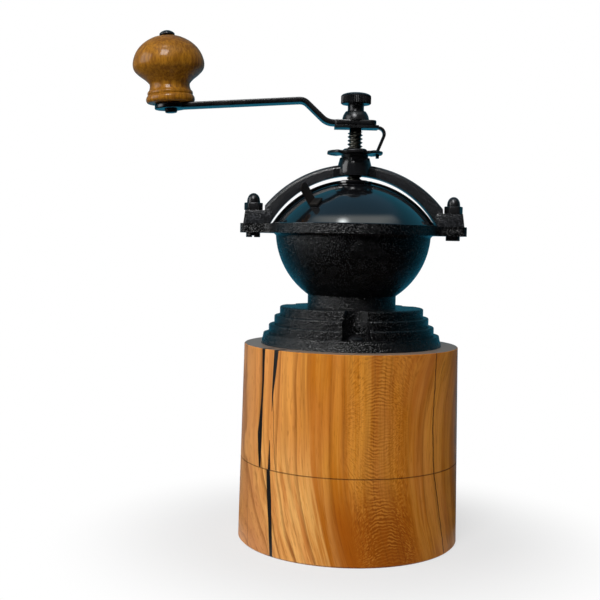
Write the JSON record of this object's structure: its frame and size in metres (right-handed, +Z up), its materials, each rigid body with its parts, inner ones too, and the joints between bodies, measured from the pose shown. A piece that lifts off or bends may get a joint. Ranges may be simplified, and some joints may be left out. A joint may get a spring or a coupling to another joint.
{
  "type": "manual coffee grinder",
  "caption": "Hand coffee mill: turned wooden base with lift-off catch cup, cast hopper under a domed cover with sliding door, arched bridge, notched grind wheel and a crank with a wooden knob.",
  "frame": {"origin": "centre of the catch cup's underside, on the spindle's axis", "axes": "+Z up along the spindle, -Y towards the front with the sliding door, the bridge along X and the crank towards -X at rest"},
  "size_m": [0.1849, 0.1216, 0.2777],
  "materials": {
    "wood": "satin lacquer over straight-grained cherry-coloured wood",
    "knob_wood": "glossy brown varnish",
    "resin": "black casting resin, sanded flush and lacquered",
    "casting": "black pebbled powder coat",
    "bridge": "black satin paint over a cast surface",
    "dome": "glossy black enamel on sheet steel",
    "black_steel": "black oxide, satin",
    "bare_steel": "zinc plated",
    "burr": "machined cast iron",
    "bronze": "sintered bronze"
  },
  "bodies": {
    "cup": {"catch_cup": "wood", "cup_resin": "resin"},
    "mill": {"mill_body": "wood", "body_resin": "resin", "base_plate": "casting", "base_screws": "black_steel", "hopper_bowl": "casting", "bowl_screws": "bare_steel", "bridge_arch": "bridge", "bridge_bolts": "black_steel", "acorn_nuts": "black_steel", "dome_cover": "dome", "dome_eyelet": "black_steel", "outer_burr": "burr", "lower_bearing": "casting", "lower_bush": "bronze", "bearing_screws": "bare_steel"},
    "door": {"dome_door": "dome", "door_tab": "black_steel"},
    "adjuster": {"adjuster_wheel": "black_steel"},
    "crank": {"drive_shaft": "black_steel", "inner_burr": "burr", "burr_pin": "bare_steel", "locking_clip": "black_steel", "crank_arm": "black_steel", "thumb_nut": "black_steel", "knob_pin": "black_steel"},
    "knob": {"knob": "knob_wood"}
  },
  "joints": [
    {"name": "lift", "type": "slide", "parent": "cup", "child": "mill", "axis": [0, 0, 1], "range_m": [0, 0.06]},
    {"name": "door_turn", "type": "hinge", "parent": "mill", "child": "door", "pos_m": [0, 0, 0.19], "axis": [0, 0, 1], "range_deg": [0, 100]},
    {"name": "crank_turn", "type": "hinge", "parent": "mill", "child": "adjuster", "pos_m": [0, 0, 0.2], "axis": [0, 0, 1], "continuous": true},
    {"name": "grind_set", "type": "slide", "parent": "adjuster", "child": "crank", "axis": [0, 0, 1], "range_m": [-0.001, 0.0007]},
    {"name": "knob_spin", "type": "hinge", "parent": "crank", "child": "knob", "pos_m": [-0.1016, 0, 0.23645], "axis": [-0.0663, 0, 0.9978], "continuous": true}
  ]
}
